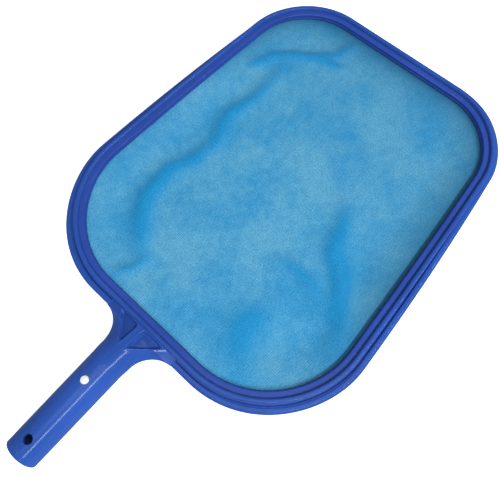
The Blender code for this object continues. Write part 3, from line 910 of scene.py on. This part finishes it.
def hang_net(obj, held):
    """Lets the net settle: its held edge stays, and the rest comes down slack, towards the floor."""
    scene = bpy.context.scene
    group = obj.vertex_groups.new(name="held")
    group.add(held, 1.0, "REPLACE")
    bm = bmesh.new()
    place = Matrix.Translation((0, 0, GROUND))
    bmesh.ops.create_grid(bm, x_segments=4, y_segments=4, size=0.6, matrix=place)
    ground = new_object("net_ground", bm)
    ground.modifiers.new("ground", "COLLISION")
    ground.collision.thickness_outer = 0.0005
    ground.collision.cloth_friction = 12.0
    cloth = obj.modifiers.new("hang", "CLOTH")
    cloth.settings.quality = 7
    cloth.settings.mass = 0.0004
    cloth.settings.tension_stiffness = 20.0
    cloth.settings.compression_stiffness = 12.0
    cloth.settings.shear_stiffness = 4.0
    cloth.settings.bending_stiffness = 0.4
    cloth.settings.tension_damping = 8.0
    cloth.settings.air_damping = 4.0
    cloth.settings.shrink_min = -settings().net.slack
    cloth.settings.vertex_group_mass = "held"
    cloth.collision_settings.distance_min = 0.001
    cloth.collision_settings.use_self_collision = False
    cloth.point_cache.frame_start = 1
    cloth.point_cache.frame_end = HANG_STEPS
    for step in range(1, HANG_STEPS + 1):
        scene.frame_set(step)
    take_modified_mesh(obj)
    scene.frame_set(1)
    bpy.data.objects.remove(ground)


def mark_folds_and_painted_shade(obj, opening):
    """Stores where the cloth is folded, and the painted shade beside the rim and growing in the direction
    DARK_SIDE, for the weave's colour.
    """
    fold = obj.data.attributes.new("fold", "FLOAT", "POINT")
    shadow = obj.data.attributes.new("shadow", "FLOAT", "POINT")
    middle = Vector(((NET_BOX[0].x + NET_BOX[1].x) / 2, 0, 0))
    full_fold, rim_reach, far_end = 0.0028, 0.013, 0.22
    for vert in obj.data.vertices:
        inside = max(outline_distance(vert.co, opening)[0], 0.0)
        facing = (vert.co - middle).normalized().dot(Vector((*DARK_SIDE, 0)))
        far = smooth_step((vert.co.x * DARK_SIDE[0] + vert.co.y * DARK_SIDE[1]) / far_end)
        beside_rim = math.exp(-inside / rim_reach) * smooth_step(0.5 + facing)
        # Painted shade: the rim's shadow beside it, and a darkening in the direction DARK_SIDE.
        shadow.data[vert.index].value = min(beside_rim + 0.16 * far, 1.0)
        fold.data[vert.index].value = min(fold_height(vert.co.x, vert.co.y) / full_fold, 1.0)


def lay_folds(obj, opening):
    """Gives the flat net its dip, ripples and folds, and returns the points that stay held at its edge."""
    net = settings().net
    held_within, fold_start, dip_width, ripples = 0.0004, 0.012, 0.035, 22
    held = []
    for vert in obj.data.vertices:
        inside = outline_distance(vert.co, opening)[0]
        if inside < held_within:
            held.append(vert.index)
            continue
        ripple = net.ripple * noise.noise(Vector((vert.co.x * ripples, vert.co.y * ripples, 0.7)))
        lift = fold_height(vert.co.x, vert.co.y) * smooth_step(inside / fold_start)
        vert.co.z += lift + (ripple - net.dip) * smooth_step(inside / dip_width)
    return held


class SKIMMER_OT_net(bpy.types.Operator):
    """Cut the net, hang it slack in the rim and give it its weave"""

    bl_idname = "skimmer.net"
    bl_label = "Net"

    def execute(self, context):
        net = settings().net
        obj = new_object("skimmer_net", cut_net())
        opening = border(0.0)
        mark_folds_and_painted_shade(obj, opening)
        held = lay_folds(obj, opening)
        hang_net(obj, held)
        smoother = obj.modifiers.new("smoother", "SUBSURF")
        smoother.levels = smoother.render_levels = 1
        cloth = obj.modifiers.new("thickness", "SOLIDIFY")
        cloth.thickness = net.thickness
        cloth.offset = 0.0
        take_modified_mesh(obj)
        material = woven_net("woven_net", settings().finish, net.thread)
        finish_piece(obj, material, "head", ["net"], 80)
        return {"FINISHED"}


# ---- Lock clip ----


CLIP_WIDTH = UPPER_LEG_BOX[1].y - UPPER_LEG_BOX[0].y


def clip_strip(centre_line):
    """A flat strip with softened edges that follows (x, height above the axis) points."""
    clip = settings().clip
    points = [Vector(point) for point in centre_line]
    left, right = [], []
    for i, point in enumerate(points):
        ahead = points[min(i + 1, len(points) - 1)] - points[max(i - 1, 0)]
        normal = Vector((-ahead.y, ahead.x)).normalized() * clip.thickness / 2
        left.append(point + normal)
        right.append(point - normal)
    outline = left + right[::-1]
    near = [(p.x, -CLIP_WIDTH / 2, p.y + AXIS_HEIGHT) for p in outline]
    far = [(p.x, CLIP_WIDTH / 2, p.y + AXIS_HEIGHT) for p in outline]
    bm = lofted([near, far], True)
    rims = [e for e in bm.edges if e.calc_face_angle(0) > 1.0]
    bmesh.ops.bevel(
        bm,
        geom=rims,
        offset=clip.softening,
        segments=2,
        profile=0.5,
        affect="EDGES",
        material=-1,
    )
    return bm


def clip_button(side):
    """A round button with a low dome, turned about its own axis."""
    clip = settings().clip
    x = HINGES["upper_leg"].x + clip.button_reach
    crown = AXIS_HEIGHT + side * (UPPER_LEG_BOX[1].z - AXIS_HEIGHT)
    foot = AXIS_HEIGHT + side * clip.button_foot
    dome, radius = clip.dome, clip.button_radius
    bm = bmesh.new()
    profile = [(0.0, foot), (radius, foot)]
    profile += [
        (radius * math.cos(k * math.pi / 20), crown - side * dome * (1 - math.sin(k * math.pi / 20)))
        for k in range(11)
    ]
    verts = [bm.verts.new((x + out, 0, height)) for out, height in profile]
    edges = [bm.edges.new(pair) for pair in zip(verts, verts[1:])]
    bmesh.ops.spin(
        bm,
        geom=verts + edges,
        cent=(x, 0, 0),
        axis=(0, 0, 1),
        angle=2 * math.pi,
        steps=48,
        use_merge=True,
    )
    bmesh.ops.remove_doubles(bm, verts=bm.verts, dist=0.00001)
    bmesh.ops.recalc_face_normals(bm, faces=bm.faces)
    return bm


class SKIMMER_OT_clip(bpy.types.Operator):
    """Build the lock clip: its bend and its two legs with their buttons"""

    bl_idname = "skimmer.clip"
    bl_label = "Lock Clip"

    def execute(self, context):
        clip = settings().clip
        material = white_acetal("white_clip_plastic", settings().finish.clip_white)
        hinge_x = HINGES["upper_leg"].x
        spread = HINGES["upper_leg"].z - AXIS_HEIGHT
        bend = []
        for k in range(17):
            angle = math.pi / 2 + math.pi * k / 16
            bend.append((hinge_x - clip.bend_depth + spread * math.cos(angle), spread * math.sin(angle)))
        line = [(hinge_x - clip.cut_gap, spread), *bend, (hinge_x - clip.cut_gap, -spread)]
        bow = new_object("skimmer_clip_bow", clip_strip(line))
        finish_piece(bow, material, "head", ["clip_bow"])
        at_bore = math.sqrt(settings().handle.bore_radius**2 - (CLIP_WIDTH / 2) ** 2)
        middle = at_bore - clip.bore_gap - clip.thickness / 2
        button_x = hinge_x + clip.button_reach
        for side, name in ((1, "upper"), (-1, "lower")):
            line = [
                (hinge_x + clip.cut_gap, side * spread),
                (button_x - clip.seat, side * middle),
                (button_x + clip.seat, side * middle),
                (UPPER_LEG_BOX[1].x, side * (middle - clip.tip_drop)),
            ]
            leg = new_object(f"skimmer_clip_leg_{name}", clip_strip(line))
            combine(leg, [(clip_button(side), "UNION")])
            finish_piece(leg, material, f"{name}_leg", [f"clip_leg_{name}"])
        return {"FINISHED"}


# ---- Stage ----


FLOOR_HALF_SIZE = 6.0
FLOOR_TOP = -0.0005  # just under the rim, so that the two don't flicker
CAMERA_LENS = 32.83
CAMERA_RIGHT = Vector((0.6669, -0.7446, -0.0278))
CAMERA_BACK = Vector((-0.2195, -0.2320, 0.9476))
CAMERA_PLACE = Vector((0.01875, -0.10759, 0.38068))  # from the opening's rear edge, at the ring's top


def area_light(name, direction, distance, size, power, tint=(1.0, 1.0, 1.0)):
    """A lamp with a (length, width) in metres that points at the origin."""
    light = bpy.data.lights.new(name, "AREA")
    light.shape = "RECTANGLE"
    light.size, light.size_y = size
    light.energy = power
    light.color = tint
    obj = bpy.data.objects.new(name, light)
    obj.location = Vector(direction).normalized() * distance
    obj.rotation_euler = (-obj.location).to_track_quat("-Z", "Y").to_euler()
    bpy.context.scene.collection.objects.link(obj)
    return obj


class SKIMMER_OT_stage(bpy.types.Operator):
    """Add the floor, the lights and the camera"""

    bl_idname = "skimmer.stage"
    bl_label = "Stage"

    def execute(self, context):
        scene = context.scene
        scene.view_settings.view_transform = "Standard"
        bm = bmesh.new()
        bmesh.ops.create_grid(bm, x_segments=2, y_segments=2, size=FLOOR_HALF_SIZE)
        bmesh.ops.translate(bm, verts=bm.verts, vec=(0, 0, FLOOR_TOP))
        floor = new_object("studio_floor", bm)
        shader = Shader("studio_floor_paint")
        cloud = shader.noise(shader.place(), scale=3.0)
        white = (1.0, 1.0, 1.0)
        shader.set(
            Base_Color=shader.mix(cloud, shade(white, 0.93), shade(white, 0.95)),
            Emission_Color=shade(white),
            Emission_Strength=0.70,
            Roughness=0.9,
        )
        floor.data.materials.append(shader.material)
        # The lit floor would show as a pale haze along the edges of the glossy mouldings.
        floor.visible_glossy = False

        world = bpy.data.worlds.new("studio")
        world.use_nodes = True
        background = world.node_tree.nodes["Background"]
        background.inputs["Color"].default_value = (1.0, 1.0, 1.0, 1.0)
        background.inputs["Strength"].default_value = 0.28
        scene.world = world
        area_light("key_strip", (0.00, -0.60, 0.78), 1.6, (2.0, 0.12), 27.0, (0.86, 0.95, 1.0))
        area_light("side_soft", (-0.15, -0.15, 1.00), 1.8, (1.2, 1.0), 7.5)

        camera = bpy.data.cameras.new("camera")
        camera.sensor_width = 36.0
        camera.lens = CAMERA_LENS
        camera.clip_start = 0.01
        viewer = bpy.data.objects.new("camera", camera)
        right = CAMERA_RIGHT.normalized()
        back = CAMERA_BACK.normalized()
        up = back.cross(right).normalized()
        turn = Matrix((right, up, back)).transposed().to_4x4()
        place = CAMERA_PLACE + Vector((OPENING_REAR, 0, RING_BOX[1].z))
        viewer.matrix_world = Matrix.Translation(place) @ turn
        scene.collection.objects.link(viewer)
        scene.camera = viewer
        return {"FINISHED"}


class SKIMMER_PT_panel(bpy.types.Panel):
    """The skimmer's sizes, colours and pieces"""

    bl_label = "Pool Skimmer"
    bl_idname = "SKIMMER_PT_panel"
    bl_space_type = "VIEW_3D"
    bl_region_type = "UI"
    bl_category = "Skimmer"

    def draw(self, context):
        skimmer = settings()
        for group_name in SkimmerSettings.__annotations__:
            group = getattr(skimmer, group_name)
            column = self.layout.column(align=True)
            for name in group.__annotations__:
                column.prop(group, name)
        for operator in OPERATORS:
            self.layout.operator(operator.bl_idname)


OPERATORS = (SKIMMER_OT_frame, SKIMMER_OT_ring, SKIMMER_OT_net, SKIMMER_OT_clip, SKIMMER_OT_stage)
GROUPS = (
    HeadSettings,
    SectionSettings,
    HandleSettings,
    ClipSettings,
    NetSettings,
    FinishSettings,
    SkimmerSettings,
)
CLASSES = (*GROUPS, *OPERATORS, SKIMMER_PT_panel)


def register():
    for cls in CLASSES:
        bpy.utils.register_class(cls)
    bpy.types.Scene.skimmer = PointerProperty(type=SkimmerSettings)


def unregister():
    del bpy.types.Scene.skimmer
    for cls in reversed(CLASSES):
        bpy.utils.unregister_class(cls)


def main():
    register()
    bpy.ops.skimmer.frame()
    bpy.ops.skimmer.ring()
    bpy.ops.skimmer.net()
    bpy.ops.skimmer.clip()
    bpy.ops.skimmer.stage()


if __name__ == "__main__":
    main()
